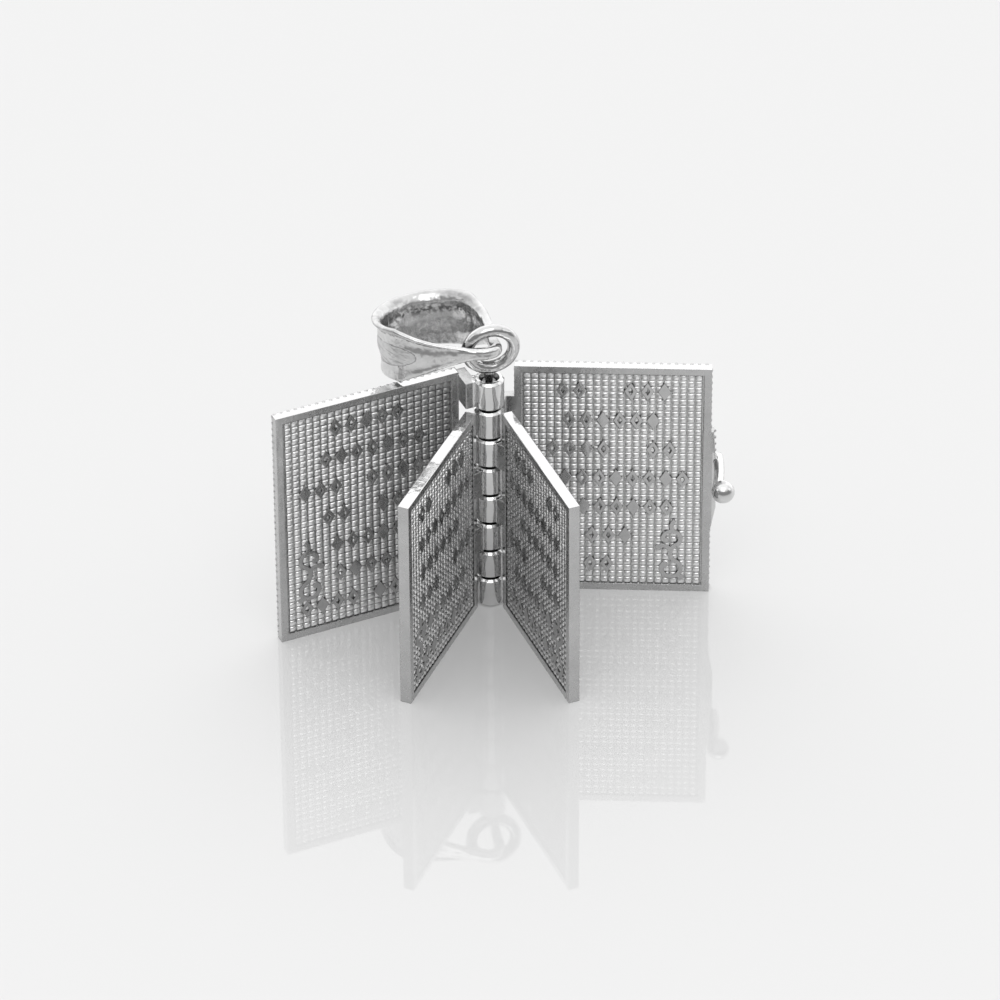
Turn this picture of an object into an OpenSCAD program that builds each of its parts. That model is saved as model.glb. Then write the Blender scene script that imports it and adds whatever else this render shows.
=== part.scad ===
// Silver book charm: two covers and two pages on one hinge pin, with a ring and a flared bail.
// The hinge axis is Z, the charm stands on its bottom edges at z = 0, and its pages face -Y.

/* [Book] */
// Height of the covers and of the hinge barrel
book_h = 17; // [16:0.1:18]
// Width of a cover, from its hinge edge to its fore edge
cover_w = 12.2; // [11.8:0.1:13]
// Thickness of a cover
cover_t = 0.55; // [0.5:0.01:0.6]
// Height of the bead rail round the outer face of a cover
rail_t = 0.08; // [0.05:0.01:0.1]
// Width of the bead rail
rail_w = 0.34; // [0.25:0.01:0.45]
// Height of a page
page_h = 14.85; // [14.6:0.05:15]
// Width of a page, from its hinge edge to its fore edge
page_w = 10.75; // [10.2:0.05:11.2]
// Thickness of a page
page_t = 0.7; // [0.6:0.01:0.75]
// Space between the two pages when the book is shut
page_gap = 0.8; // [0.7:0.01:0.9]
// Space between a page and its cover when the book is shut
cover_gap = 0.12; // [0.1:0.01:0.16]

/* [How far it stands open] */
// Direction in which the front cover points, counted from +X
front_cover_dir = 204; // [200:1:208]
// Turn from the front cover to the first page
page_1_open = 43.5; // [30:0.5:60]
// Turn from the first page to the second
page_2_open = 44.5; // [30:0.5:60]
// Turn from the second page to the back cover
back_cover_open = 65.5; // [50:0.5:75]

/* [Hinge] */
// Outer diameter of the hinge barrel
barrel_d = 1.9; // [1.8:0.02:2]
// Diameter of the hinge pin
pin_d = 0.84; // [0.7:0.02:0.9]
// Running clearance of the pin in its bores, on the radius
pin_play = 0.05; // [0.03:0.01:0.08]
// Gap between neighbouring knuckles
knuckle_gap = 0.14; // [0.1:0.01:0.2]
// Bevel on the rims of a knuckle
knuckle_bevel = 0.16; // [0.1:0.01:0.2]
// Diameter of the countersink in the top knuckle
sink_d = 1.3; // [1.1:0.02:1.3]
// Depth of the countersink
sink_depth = 0.6; // [0.4:0.05:0.8]

/* [Relief] */
// Width of the plain frame round each field
frame_w = 0.48; // [0.4:0.01:0.55]
// Depth of a field below its frame
field_depth = 0.13; // [0.1:0.01:0.15]
// Width of a raised mark
mark_w = 0.84; // [0.7:0.01:0.9]
// Height of a raised mark
mark_h = 1.36; // [1.1:0.01:1.5]
// Width of a raised stroke
stroke_w = 0.24; // [0.18:0.01:0.28]
// Distance from one mark to the next
mark_pitch = 1.04; // [1:0.01:1.1]
// Distance from one row of marks to the next
row_pitch = 2.2; // [2:0.01:2.25]

/* [Clasp] */
// Height of the strip on the fore edge of the back cover
strip_h = 7.6; // [7:0.1:8]
// Height of the strip's lower end above the table
strip_low = 4.7; // [4.4:0.1:5]
// How far the strip stands out of the fore edge at its widest
strip_out = 0.34; // [0.28:0.01:0.4]
// Diameter of the bent rod that carries the ball
rod_d = 0.66; // [0.5:0.02:0.7]
// Height of the ball above the table
ball_z = 10.05; // [9.6:0.05:10.4]
// Diameter of the ball at the end of the rod
ball_d = 1.44; // [1.3:0.02:1.6]
// Free space between the shut front cover and the clasp
clasp_play = 0.1; // [0.08:0.01:0.15]

/* [Ring] */
// Outer diameter of the ring on top of the pin
ring_d = 3.7; // [3.66:0.01:3.76]
// Diameter of the ring's wire
ring_wire_d = 0.78; // [0.7:0.01:0.8]
// Diameter of the neck between the pin and the ring
neck_d = 0.48; // [0.4:0.02:0.6]
// Height of the ring's centre above the barrel
ring_rise = 2.21; // [2.2:0.01:2.24]
// Lean of the ring towards the pages
ring_lean = 6; // [4:1:8]
// Turn of the ring's plane about the pin
ring_turn = 12; // [10:1:14]

/* [Bail] */
// Length of the bail at its waist
bail_l = 8.6; // [8.5:0.05:8.7]
// Width of the bail at its waist
bail_w = 6.75; // [6.6:0.05:6.8]
// Height of the bail at its wide end
bail_h = 3.55; // [3.3:0.05:3.6]
// Height of the lug that passes through the ring
lug_h = 0.78; // [0.7:0.02:0.86]
// Thickness of the lug
lug_t = 0.68; // [0.6:0.02:0.72]
// Thickness of the bail's wall at its wide end
wall_t = 0.5; // [0.44:0.02:0.52]
// How far the upper rim flares out from the waist
bail_flare = 0.44; // [0.3:0.02:0.5]
// How far the lower rim flares out
lower_flare = 0.14; // [0.1:0.02:0.24]
// Turn of the bail about the ring, away from the pages
bail_turn = 40.7; // [40:0.1:41]
// How far its wide end hangs below the ring
bail_dip = 12.5; // [12:0.5:13]
// How far it leans over the cover
bail_lean = 6.4; // [6:0.1:7]

/* [Hidden] */

EPS = 0.01;

// Places of the leaves across the shut book, counted from the hinge axis
page_in = page_gap / 2;
page_out = page_in + page_t;
cover_in = page_out + cover_gap;
cover_out = cover_in + cover_t;

// Places of the leaves outwards from the hinge axis
cover_start = barrel_d / 2 + 0.55;
cover_end = cover_start + cover_w;
page_start = barrel_d / 2 + 0.15;

// Knuckle 0 is the top one. The covers share the two ends of the barrel, and the pages take turns between them
KNUCKLES = 8;
knuckle_pitch = book_h / KNUCKLES;
FRONT_COVER_KNUCKLES = [0, 7];
BACK_COVER_KNUCKLES = [1, 6];
PAGE_2_KNUCKLES = [2, 4];
PAGE_1_KNUCKLES = [3, 5];
bore_d = pin_d + 2 * pin_play;

// An arm laps onto its plate, starts inside its knuckle and stays under the knuckle's skin
arm_lap = 0.3;
arm_in = 0.3;
arm_sink = 0.05;
top_arm_x = 0.85;

// Directions of the leaves
page_1_dir = front_cover_dir + page_1_open;
page_2_dir = page_1_dir + page_2_open;
back_cover_dir = page_2_dir + back_cover_open;

// The rod follows the sweep of the shut cover's corner
corner_r = norm([cover_end, cover_out + rail_t]);
clasp_r = corner_r + clasp_play;
ball_r = ball_d / 2;
ball_dir = -asin((cover_out + ball_r / 4) / (clasp_r + ball_r));
foot_w = 0.5;

// The ring stands on the pin's head
ring_r = (ring_d - ring_wire_d) / 2;
ring_z = book_h + ring_rise;
ring_x = 0.08;

// Bail: a round tip in the ring, a round wide end, and straight sides between them
bail_x = 0.284;
bail_y = -1.09;
bail_z = 19.65;
tip_r = 0.74;
wide_r = (bail_w - wall_t) / 2;
tip_c = -tip_r;
wide_c = lug_t / 2 + wall_t / 2 + wide_r - bail_l;
side_a = asin((wide_r - tip_r) / (tip_c - wide_c));
// How the bail's height and flare grow towards its wide end, and how much its rims thin
height_power = 1.3;
flare_power = 2.5;
rim_thinning = 0.15;
TIP_STEPS = 10;
SIDE_STEPS = 8;
WIDE_STEPS = 34;
BAND_STEPS = 10;

// The first row of marks lies this far below the top of its leaf
cover_rows_down = 1.75;
page_rows_down = 1.9;

// Rows of marks from the top of a field down: each pair is the first mark's place and the number of marks
FRONT_COVER_ROWS = [
    [5.6, 5], [4.2, 7], [3.2, 5, 9.8, 3], [4.6, 3, 9.3, 2], [4.6, 6], [3.4, 7], [4.9, 3, 8.8, 4]
];
BACK_COVER_ROWS = [
    [4.5, 2, 8.7, 3], [4.9, 6], [3.9, 4, 10.1, 2], [2.6, 10], [3.7, 8], [3.2, 6], [3.1, 5]
];
PAGE_ROWS = [[3.4, 3, 8.6, 2], [2.5, 8], [4.4, 6], [2.5, 3, 7.6, 3], [3.4, 7], [2.9, 7]];

// Places of the scroll's foot, and its tangent arcs: [x, y, radius, from, to], and buds: [x, y, radius]
FRONT_SCROLL = [11.7, 2.6];
BACK_SCROLL = [11.3, 0.9];
PAGE_SCROLL = [10.1, 0.9];
SCROLL_ARCS = [
    [0, 0.85, 0.62, 150, 285],
    [0, 0.85, 0.62, 285, 420],
    [0.69, 2.04, 0.75, 120, 240],
    [0.04, 3.16, 0.55, -60, 70],
    [0.04, 3.16, 0.55, 70, 200],
    [-0.55, 2.1, 0.5, -40, 120],
    [0.62, 4.1, 0.6, 130, 230]
];
SCROLL_BUDS = [[-0.42, 1.12, 0.24], [-0.36, 3.02, 0.2], [-0.78, 2.5, 0.22], [0.62, 0.2, 0.2]];

function leaf_z(k) = book_h - (k + 1) * knuckle_pitch;

// Knuckle k of the barrel, with bevelled rims
module knuckle_body(k)
{
    low = leaf_z(k) + (k == KNUCKLES - 1 ? 0 : knuckle_gap / 2);
    high = leaf_z(k) + knuckle_pitch - (k == 0 ? 0 : knuckle_gap / 2);
    r = barrel_d / 2;
    rotate_extrude($fn = 48)
        polygon([
            [0, low],
            [r - knuckle_bevel, low],
            [r, low + knuckle_bevel],
            [r, high - knuckle_bevel],
            [r - knuckle_bevel, high],
            [0, high]
        ]);
}

// Arm of knuckle k: its plan, a little less tall than the knuckle
module arm(k, plan)
{
    low = leaf_z(k) + knuckle_gap;
    translate([0, 0, low])
        linear_extrude(knuckle_pitch - 2 * knuckle_gap)
            polygon(plan);
}

// The top arm turns square off the cover, the others lie behind the pages' edges
module cover_arm(k)
{
    arm(k, k == 0 ? [
        [cover_start + arm_lap, cover_out],
        [cover_start + arm_lap, cover_in],
        [cover_start + arm_sink, cover_in],
        [cover_start + arm_sink, 0],
        [arm_in, 0],
        [arm_in, 2 * arm_in],
        [top_arm_x, barrel_d / 2 - 3 * arm_sink],
        [top_arm_x, cover_out]
    ] : [
        [cover_start + arm_lap, cover_out],
        [cover_start + arm_lap, cover_in],
        [page_start - cover_gap, cover_in],
        [barrel_d / 2 - arm_sink, arm_in],
        [0, arm_in],
        [0, barrel_d / 2 - arm_sink],
        [arm_in, cover_out - arm_in],
        [2 * arm_in, cover_out]
    ]);
}

// A page's arm runs from the front of the barrel onto the page's inner frame
module page_arm(k)
{
    arm(k, [
        [page_start + arm_lap, page_out],
        [page_start + frame_w, page_in],
        [barrel_d / 2 - arm_sink / 2, arm_sink],
        [0, arm_sink],
        [0, barrel_d / 2 - arm_sink],
        [1.5 * arm_in, page_out]
    ]);
}

// The pin's bore through every knuckle of a leaf
module bore()
{
    translate([0, 0, -1])
        cylinder(h = book_h + 2, d = bore_d, $fn = 48);
}

// A ring of stroke width, cut to the part between two directions
module arc_stroke(r, w, from, to)
{
    reach = 4 * r;
    middle = (from + to) / 2;
    intersection() {
        difference() {
            circle(r = r + w / 2, $fn = 48);
            circle(r = r - w / 2, $fn = 48);
        }
        polygon([
            [0, 0],
            [reach * cos(from), reach * sin(from)],
            [reach * cos(middle), reach * sin(middle)],
            [reach * cos(to), reach * sin(to)]
        ]);
    }
}

// Plain lozenge mark, open or filled
module mark(open)
{
    difference() {
        lozenge(mark_w, mark_h);
        if (open)
            lozenge(mark_w - 2.3 * stroke_w, mark_h - 3.4 * stroke_w);
    }
}

module lozenge(w, h)
{
    polygon([[w / 2, 0], [0, h / 2], [-w / 2, 0], [0, -h / 2]]);
}

// A run of marks in one row
module mark_run(start, count)
{
    for (i = [0 : count - 1])
        translate([start + i * mark_pitch, 0])
            mark(i % 3 != 2);
}

// All the rows of one field, from the top down
module mark_rows(rows, top)
{
    for (i = [0 : len(rows) - 1])
        translate([0, top - i * row_pitch]) {
            mark_run(rows[i][0], rows[i][1]);
            if (len(rows[i]) > 2)
                mark_run(rows[i][2], rows[i][3]);
        }
}

// Scroll ornament: a winding stem with two curls and their buds, about 2 wide and 5 high
module scroll()
{
    for (a = SCROLL_ARCS)
        translate([a[0], a[1]])
            arc_stroke(a[2], stroke_w * 1.2, a[3], a[4]);
    for (b = SCROLL_BUDS)
        translate([b[0], b[1]])
            circle(r = b[2], $fn = 24);
}

// One field as a flat drawing: what is cut away round the raised marks and scroll
module field(start, width, height, rows, top, scroll_at)
{
    difference() {
        translate([start + frame_w, frame_w])
            square([width - 2 * frame_w, height - 2 * frame_w]);
        mark_rows(rows, top);
        translate(scroll_at)
            scroll();
    }
}

// Lays a drawing of width and height on the face of a leaf at y = face and cuts it in, towards +Y or -Y
module cut_in(face, inward)
{
    translate([0, inward > 0 ? face + field_depth : face + EPS, 0])
        rotate([90, 0, 0])
            linear_extrude(field_depth + EPS)
                children();
}

// Cover on the +Y side of the shut book: plate, bead rail, field and arms
module cover(rows, scroll_at, knuckles)
{
    difference() {
        union() {
            translate([cover_start, cover_in, 0])
                cube([cover_w, cover_t + rail_t, book_h]);
            for (k = knuckles) {
                knuckle_body(k);
                cover_arm(k);
            }
        }
        translate([cover_start + rail_w, cover_out, rail_w])
            cube([cover_w - 2 * rail_w, 1, book_h - 2 * rail_w]);
        cut_in(cover_in, 1)
            field(cover_start, cover_w, book_h, rows, book_h - cover_rows_down, scroll_at);
        bore();
    }
}

// Page on the +Y side of the shut book, with a field on both faces
module page(knuckles)
{
    difference() {
        union() {
            translate([page_start, page_in, 0])
                cube([page_w, page_t, page_h]);
            for (k = knuckles) {
                knuckle_body(k);
                page_arm(k);
            }
        }
        for (side = [1, -1])
            cut_in(side > 0 ? page_in : page_out, side)
                field(page_start, page_w, page_h, PAGE_ROWS, page_h - page_rows_down, PAGE_SCROLL);
        bore();
    }
}

// Strip let into the fore edge of the back cover, and a bent rod from it round the fore edge to a ball
module clasp()
{
    rod_r = clasp_r + rod_d / 2;
    foot_dir = asin(cover_out / rod_r);
    translate([cover_end, cover_in + cover_t, strip_low])
        rotate([90, 0, 0])
            linear_extrude(cover_t)
                polygon([
                    [-foot_w, 0],
                    [0, 0],
                    [strip_out, strip_h / 4],
                    [strip_out * 0.9, ball_z - strip_low],
                    [strip_out / 2, strip_h],
                    [-foot_w, strip_h]
                ]);
    translate([0, 0, ball_z])
        rotate([0, 0, ball_dir])
            rotate_extrude(angle = foot_dir - ball_dir, $fn = 180)
                translate([rod_r, 0])
                    circle(d = rod_d, $fn = 24);
    rotate([0, 0, ball_dir])
        translate([clasp_r + ball_r, 0, ball_z])
            sphere(d = ball_d, $fn = 48);
}

module front_cover()
{
    color("silver")
        rotate([0, 0, front_cover_dir])
            mirror([0, 1, 0])
                difference() {
                    cover(FRONT_COVER_ROWS, FRONT_SCROLL, FRONT_COVER_KNUCKLES);
                    translate([0, 0, book_h - sink_depth])
                        cylinder(h = sink_depth + EPS, d1 = bore_d, d2 = sink_d, $fn = 48);
                }
}

module page_1()
{
    color("gainsboro")
        rotate([0, 0, page_1_dir])
            mirror([0, 1, 0])
                page(PAGE_1_KNUCKLES);
}

module page_2()
{
    color("gainsboro")
        rotate([0, 0, page_2_dir])
            page(PAGE_2_KNUCKLES);
}

module back_cover()
{
    color("silver")
        rotate([0, 0, back_cover_dir]) {
            cover(BACK_COVER_ROWS, BACK_SCROLL, BACK_COVER_KNUCKLES);
            clasp();
        }
}

// Hinge pin with the ring soldered on its head
module ring_pin()
{
    color("lightgrey") {
        cylinder(h = book_h - sink_depth / 2, d = pin_d, $fn = 96);
        cylinder(h = ring_z - ring_r, d = neck_d, $fn = 48);
        translate([ring_x, 0, ring_z - ring_r])
            rotate([90 + ring_lean, 0, ring_turn])
                translate([0, ring_r, 0])
                    rotate_extrude($fn = 96)
                        translate([ring_r, 0])
                            circle(d = ring_wire_d, $fn = 48);
    }
}

// Outline of the bail seen from above, from the tip round one side: [x, y, direction it faces]
function round_part(c, r, from, to, steps) =
    [for (i = [0 : steps - 1])
        let(a = from + (to - from) * i / steps)
        [c + r * cos(a), r * sin(a), a]];
function side_part(from, to, a, steps) =
    [for (i = [0 : steps - 1])
        let(f = i / steps)
        [from[0] + (to[0] - from[0]) * f, from[1] + (to[1] - from[1]) * f, a]];
function on_round(c, r, a) = [c + r * cos(a), r * sin(a)];
tip_turn = 90 - side_a;
bail_outline = concat(
    round_part(tip_c, tip_r, -tip_turn, tip_turn, TIP_STEPS),
    side_part(on_round(tip_c, tip_r, tip_turn), on_round(wide_c, wide_r, tip_turn), tip_turn, SIDE_STEPS),
    round_part(wide_c, wide_r, tip_turn, 360 - tip_turn, WIDE_STEPS),
    side_part(on_round(wide_c, wide_r, -tip_turn), on_round(tip_c, tip_r, -tip_turn), -tip_turn, SIDE_STEPS));

// How far a place lies from the tip (0) towards the wide end (1)
function along(x) = max(0, min(1, (tip_c - x) / (tip_c - wide_c)));
function band_h(x) = lug_h + (bail_h - lug_h) * pow(along(x), height_power);
function band_t(x) = lug_t + (wall_t - lug_t) * min(1, 2 * along(x));
function band_flare(x, v) = (v > 0 ? bail_flare : lower_flare) * along(x) * pow(abs(v), flare_power);

// Points across the band: [offset from the middle of the wall, height], up the outer face and down the inner
function band_side(x, side) =
    [for (i = [0 : BAND_STEPS])
        let(v = side * (2 * i / BAND_STEPS - 1))
        [band_flare(x, v) + side * band_t(x) / 2 * (1 - rim_thinning * v * v), v * band_h(x) / 2]];
function band_section(x) = concat(band_side(x, 1), band_side(x, -1));

module bail()
{
    sections = [for (p = bail_outline)
        [for (q = band_section(p[0])) [p[0] + q[0] * cos(p[2]), p[1] + q[0] * sin(p[2]), q[1]]]];
    n = len(sections);
    m = len(sections[0]);
    points = [for (s = sections) each s];
    faces = [for (i = [0 : n - 1]) for (j = [0 : m - 1])
        [i * m + j, i * m + (j + 1) % m, (i + 1) % n * m + (j + 1) % m, (i + 1) % n * m + j]];
    color("whitesmoke")
        translate([bail_x, bail_y, bail_z])
            rotate([0, 0, -bail_turn])
                rotate([0, -bail_dip, 0])
                    rotate([-bail_lean, 0, 0])
                        polyhedron(points, faces, convexity = 6);
}

front_cover();
page_1();
page_2();
back_cover();
ring_pin();
bail();
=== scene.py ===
"""Silver book charm: the looks of its leaves, hinge, ring and bail, and the table that it stands on."""
import math

import bmesh
import bpy
from bpy.props import FloatProperty, FloatVectorProperty, PointerProperty
from mathutils import Matrix, Vector


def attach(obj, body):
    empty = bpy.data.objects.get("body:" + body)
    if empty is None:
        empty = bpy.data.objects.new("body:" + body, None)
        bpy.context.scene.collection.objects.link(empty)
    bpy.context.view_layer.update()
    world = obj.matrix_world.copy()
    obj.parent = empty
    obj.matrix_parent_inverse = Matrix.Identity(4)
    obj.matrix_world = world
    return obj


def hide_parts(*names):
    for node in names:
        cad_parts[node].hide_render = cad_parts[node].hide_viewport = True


bl_info = {
    "name": "Book charm",
    "version": (1, 0, 0),
    "blender": (4, 5, 0),
    "location": "View3D > Sidebar > Charm",
    "description": "Finishes a hinged silver book charm around its packed frame",
    "category": "Object",
}

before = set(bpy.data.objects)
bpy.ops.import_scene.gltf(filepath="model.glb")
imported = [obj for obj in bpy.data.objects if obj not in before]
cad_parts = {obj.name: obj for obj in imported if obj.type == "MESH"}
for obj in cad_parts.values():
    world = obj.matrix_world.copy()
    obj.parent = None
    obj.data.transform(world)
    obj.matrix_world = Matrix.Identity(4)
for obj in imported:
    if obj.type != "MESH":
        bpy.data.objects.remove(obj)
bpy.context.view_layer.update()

MM = 0.001

# Lengths in these tables are in millimetres. The hinge axis is Z through the origin.

# A leaf's plate: where it starts from the axis, its size, and how far its faces are from the axis
# plane. The ground colour of its fields reaches from that plane out to field_reach.
COVER = {"start": 1.5, "width": 12.2, "height": 17.0, "inner": 1.22, "outer": 1.77, "field_reach": 1.45}
PAGE = {"start": 1.1, "width": 10.75, "height": 14.85, "inner": 0.4, "outer": 1.1, "field_reach": 2.0}
# direction is in degrees, and flip is -1 where the outer face lies on the other side of it. Then comes
# how bright the pillows are, near the hinge and near the fore edge: painted shade, darkest by the front
# cover's hinge, where the pages shade it, and on the pages, which lie between the covers. ground is how
# bright the rest of the field is, also painted shade where it is darker than the cast silver.
LEAVES = {
    "front_cover": {"plate": COVER, "direction": 204.0, "flip": -1, "painted_shade": (0.46, 1.0), "ground": 0.44},
    "page_1": {"plate": PAGE, "direction": 247.5, "flip": -1, "painted_shade": (0.98, 1.0), "ground": 0.36},
    "page_2": {"plate": PAGE, "direction": 292.0, "flip": 1, "painted_shade": (0.76, 0.8), "ground": 0.34},
    "back_cover": {"plate": COVER, "direction": 357.5, "flip": 1, "painted_shade": (1.0, 1.0), "ground": 0.56},
}
# The barrel's polish ends between these distances from the axis, and a top edge's this far down
BARREL_EDGE = (1.0, 1.1)
TOP_SKIN = 0.01
# The clasp's rod and ball are polished. They lie below CLASP_TOP, and further from the axis than the
# cover's far corner with the beads on it, where the polish sets in between the two lengths of CLASP_EDGE.
CLASP_TOP = 10.75
CORNER_BEADS = 0.08
CLASP_EDGE = (0.01, 0.04)
# The middle of the beads' rail is this far above a cover's outer face
RAIL_LIFT = 0.02
# The run of beads down the clasp's strip: how far out of the fore edge, and how high. All of them are
# STRIP_PLANE from the axis plane.
STRIP_BEADS = [(0.2, 12.1), (0.27, 9.2)]
STRIP_PLANE = 1.68

# Bands up the bail's wall, as middle and width, where 1 is the upper rim and -1 the lower: the rolled
# rim, the crease under it and the band inside, which are both darkened with painted shade
RIM = (0.92, 0.14)
CREASE = (0.74, 0.04)
SHADE = (0.42, 0.2)

# Patterns in the silver: the size of their features, their detail, and the noise values where they
# start and are full
PATTERNS = {
    "wear": (0.5, 3.0, 0.3, 0.7),
    "flecks": (0.3, 2.0, 0.4, 0.6),
    "specks": (0.3, 5.0, 0.46, 0.56),
    "greying": (1.2, 2.0, 0.35, 0.65),
    "blotches": (1.6, 4.0, 0.3, 0.7),
}
# The strokes in the bail's engraving and the pores of all silver: size, detail and depth
STROKES = (0.18, 2.0, 0.05)
PORES = (0.12, 2.0, 0.006)
# The swells that polishing leaves: size and detail
SWELLS = (0.7, 1.5)
# Samples of the nodes that look round a point for recesses and edges
SHADER_SAMPLES = 8
# Pillows change from their painted shade near the hinge to their brightness near the fore edge
# between these distances
PAINTED_SHADE_REACH = (2, 9)
# The pillows of a cover and a page: roughness against the cast silver's, and silver()'s waves and flecked
COVER_PILLOWS = {"rough": 1.25, "waves": 0.02, "flecked": 0.0}
PAGE_PILLOWS = {"rough": 0.7, "waves": 0.06, "flecked": 0.3}

# The room's brightness along a direction's Y, which points away from the camera, and along its Z: from,
# to, dark, light
ROOM_BEHIND = (-0.2, 0.6, 0.3, 1.55)
ROOM_ABOVE = (0.35, 0.8, 0.0, 1.3)
# The soft boxes: name, place and side in metres, and watts. All face LIGHT_AIM, also in metres.
LIGHTS = (
    ("soft_top", (0.0, -0.2, 0.36), 0.26, 0.3),
    ("soft_left", (-0.36, -0.08, 0.2), 0.16, 0.06),
    ("soft_right", (0.36, -0.02, 0.2), 0.16, 0.06),
)
LIGHT_AIM = Vector((0, 0, 0.01))


def length(name, default_mm, low_mm, high_mm, text):
    """A size property, given in millimetres and kept in metres."""
    return FloatProperty(name=name, description=text, default=default_mm * MM, min=low_mm * MM,
                         max=high_mm * MM, unit="LENGTH", precision=5)


def ratio(name, default, low, high, text):
    """A property without a unit."""
    return FloatProperty(name=name, description=text, default=default, min=low, max=high, subtype="FACTOR")


def angle(name, default_deg, text):
    """An angle property, given in degrees and kept in radians."""
    return FloatProperty(name=name, description=text, default=math.radians(default_deg), subtype="ANGLE")


def grey(name, brightness, text):
    """A colour property that starts out as a neutral grey."""
    return FloatVectorProperty(name=name, description=text, default=(brightness,) * 3, min=0, max=1,
                               size=3, subtype="COLOR")


def point(name, default_mm, text):
    """A property for a place, given in millimetres and kept in metres."""
    return FloatVectorProperty(name=name, description=text, size=3, unit="LENGTH",
                               default=tuple(value * MM for value in default_mm))


class CHARM_PG_relief(bpy.types.PropertyGroup):
    """The leaves' relief, beads and edges"""
    frame_w: length("Frame width", 0.48, 0.4, 0.55, "Plain frame round each field")
    field_depth: length("Field depth", 0.13, 0.1, 0.15, "Depth of a field below its frame")
    cover_pitch_across: length("Cover pitch across", 0.482, 0.4, 0.6,
                               "Distance between the pillows of a cover")
    cover_pitch_up: length("Cover pitch up", 0.457, 0.4, 0.6,
                           "Distance between the pillow rows of a cover")
    page_pitch_across: length("Page pitch across", 0.42, 0.3, 0.6,
                              "Distance between the pillows of a page")
    page_pitch_up: length("Page pitch up", 0.42, 0.3, 0.6,
                          "Distance between the pillow rows of a page")
    fill_across: ratio("Fill across", 0.9, 0.5, 1.0, "Share of the pitch across that a pillow takes")
    fill_up: ratio("Fill up", 0.91, 0.5, 1.0, "Share of the pitch up that a pillow takes")
    spread_across: ratio("Spread across", 0.5, 0.0, 0.8, "How far a pillow's top is widened")
    spread_up: ratio("Spread up", 0.12, 0.0, 0.8, "How far a pillow's top is made taller")
    pillow_h: length("Pillow height", 0.115, 0.05, 0.13, "Height of a pillow above the field")
    bead_d: length("Bead diameter", 0.4, 0.3, 0.5, "Diameter of a bead on the covers' rails")
    bead_out: length("Bead overhang", 0.06, 0.0, 0.1, "How far the beads stand out over the plate's edge")
    strip_bead_d: length("Strip bead diameter", 0.24, 0.15, 0.3, "Diameter of a bead on the clasp's strip")
    bead_pitch: length("Bead pitch", 0.47, 0.4, 0.6, "Distance between beads")
    soft_edge: length("Soft edge", 0.08, 0.0, 0.12, "Width of the rounding on cast edges")


class CHARM_PG_bail(bpy.types.PropertyGroup):
    """The bail's shape and place"""
    long: length("Length", 8.6, 8.5, 8.7, "Length of the bail at its waist")
    wide: length("Width", 6.75, 6.6, 6.8, "Width of the bail at its waist")
    tall: length("Height", 3.55, 3.3, 3.6, "Height of the wide end")
    lug_h: length("Lug height", 0.78, 0.7, 0.86, "Height of the lug in the ring")
    lug_t: length("Lug thickness", 0.68, 0.6, 0.72, "Thickness of the lug")
    wall_t: length("Wall", 0.5, 0.44, 0.52, "Thickness of the wall at the wide end")
    flare: length("Upper flare", 0.44, 0.3, 0.5, "How far the upper rim flares out")
    lower_flare: length("Lower flare", 0.24, 0.1, 0.3, "How far the lower rim flares out")
    belly: length("Belly", 0.25, 0.0, 0.35, "How far the wall bulges half way up")
    tip_r: length("Tip radius", 0.74, 0.6, 0.9, "Radius of the lug's loop")
    rim_r: length("Rim rounding", 0.28, 0.1, 0.3, "Height of the rounding on the rims")
    engraving: length("Engraving", 0.025, 0.0, 0.05, "Depth of the leaf in the outer face")
    place: point("Place", (0.284, -1.09, 19.65), "Middle of the lug")
    turn: angle("Turn", -40.7, "Turn about the ring")
    dip: angle("Dip", -12.5, "How far the wide end hangs")
    lean: angle("Lean", -6.4, "Lean over the cover")


class CHARM_PG_finish(bpy.types.PropertyGroup):
    """The silver's colours and roughness"""
    cast: grey("Cast silver", 0.56, "Colour of the satin leaves")
    cast_rough: ratio("Cast roughness", 0.27, 0, 1, "Roughness of the satin leaves")
    polished: grey("Polished silver", 0.66, "Colour of the ring and pin")
    polished_rough: ratio("Polished roughness", 0.1, 0, 1, "Roughness of the polished parts")
    burnished: grey("Burnished silver", 0.73, "Colour of the barrel, clasp, top edges and bail")
    # Patina in the hollows and painted shade share this colour
    patina_and_shade: grey("Patina", 0.2, "Colour in the recesses")
    hollow: length("Hollow reach", 0.2, 0.1, 1.0, "How far the darkening reaches out of a recess")
    # Inside the ring and the bail this wider darkening is painted shade as well as tarnish
    ring_hollow: length("Ring hollow reach", 1.5, 0.1, 3.0,
                        "How far it reaches inside the ring and the bail")


class CHARM_PG_stage(bpy.types.PropertyGroup):
    """The camera's place"""
    aim: point("Aim", (0.64, 3.64, 5.01), "Point in the middle of the picture")
    distance: length("Distance", 430, 300, 600, "Distance of the camera from its aim")
    elevation: angle("Elevation", 35.96, "Height of the camera above the horizon")
    roll: angle("Roll", 0.32, "Turn of the picture")
    lens: FloatProperty(name="Lens", description="Focal length on a 36 mm sensor, in millimetres",
                        default=246.1, min=50, max=400)


GROUPS = {"charm_relief": CHARM_PG_relief, "charm_bail": CHARM_PG_bail, "charm_finish": CHARM_PG_finish,
          "charm_stage": CHARM_PG_stage}


# Node helpers

def node_of(tree, kind, **sockets):
    """A new node with values set on its named sockets."""
    made = tree.nodes.new(kind)
    for name, value in sockets.items():
        made.inputs[name.replace("_", " ")].default_value = value
    return made


def calc(tree, operation, first, second=None):
    """A math node. Each operand is a socket or a number."""
    made = tree.nodes.new("ShaderNodeMath")
    made.operation = operation
    for socket, value in zip(made.inputs, (first, second)):
        if value is None:
            continue
        if isinstance(value, (int, float)):
            socket.default_value = value
        else:
            tree.links.new(value, socket)
    return made.outputs[0]


def ramp(tree, source, low, high, dark, light):
    """Maps source from low..high to dark..light, held at both ends."""
    made = node_of(tree, "ShaderNodeMapRange", From_Min=low, From_Max=high, To_Min=dark, To_Max=light)
    tree.links.new(source, made.inputs["Value"])
    return made.outputs["Result"]


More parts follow.
